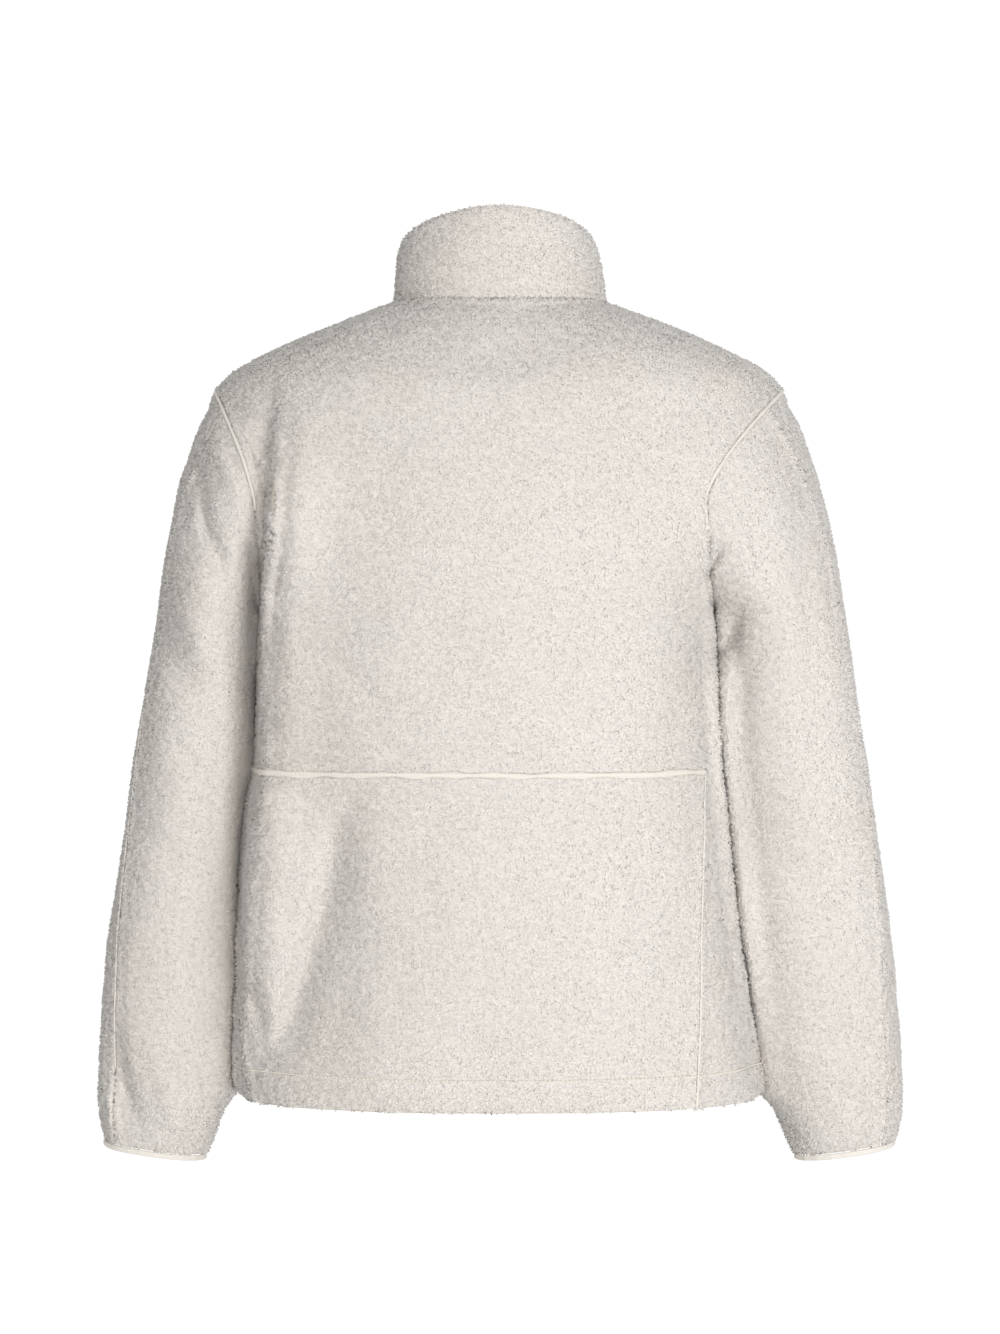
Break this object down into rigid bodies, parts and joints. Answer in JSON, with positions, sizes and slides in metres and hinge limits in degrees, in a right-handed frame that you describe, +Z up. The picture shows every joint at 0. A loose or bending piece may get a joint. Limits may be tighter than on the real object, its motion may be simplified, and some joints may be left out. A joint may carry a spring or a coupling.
{
  "type": "fleece zip-up jacket",
  "caption": "Hip-length high-pile fleece jacket with a stand collar, full front zip, two-piece long sleeves and a waist seam across the back, filled out as when worn.",
  "frame": {"origin": "middle of the neck, level with the points where the shoulder seams meet the collar", "axes": "+Z up, +X the wearer's left, +Y the wearer's back; the zip faces -Y"},
  "size_m": [0.6785, 0.2892, 0.7911],
  "materials": {
    "sherpa_fleece": "off-white high-pile fleece",
    "stretch_binding": "fine ribbed stretch binding",
    "woven_zip_tape": "woven tape",
    "moulded_zip_teeth": "moulded acetal",
    "nickel_plated_zinc": "satin nickel plating"
  },
  "bodies": {
    "jacket": {"back_upper": "sherpa_fleece", "back_lower": "sherpa_fleece", "front_left": "sherpa_fleece", "front_right": "sherpa_fleece", "sleeve_left_top": "sherpa_fleece", "sleeve_left_under": "sherpa_fleece", "sleeve_right_top": "sherpa_fleece", "sleeve_right_under": "sherpa_fleece", "collar": "sherpa_fleece", "cuff_binding_left": "stretch_binding", "cuff_binding_right": "stretch_binding", "zip_tape_left": "woven_zip_tape", "zip_tape_right": "woven_zip_tape", "zip_chain": "moulded_zip_teeth", "zip_slider": "nickel_plated_zinc", "zip_box": "nickel_plated_zinc", "zip_stop_left": "nickel_plated_zinc", "zip_stop_right": "nickel_plated_zinc"},
    "zip_pull": {"zip_pull": "nickel_plated_zinc"}
  },
  "joints": [
    {"name": "pull_swing", "type": "hinge", "parent": "jacket", "child": "zip_pull", "pos_m": [0, -0.0729, -0.0031], "axis": [-1, 0, 0], "range_deg": [0, 150]}
  ]
}
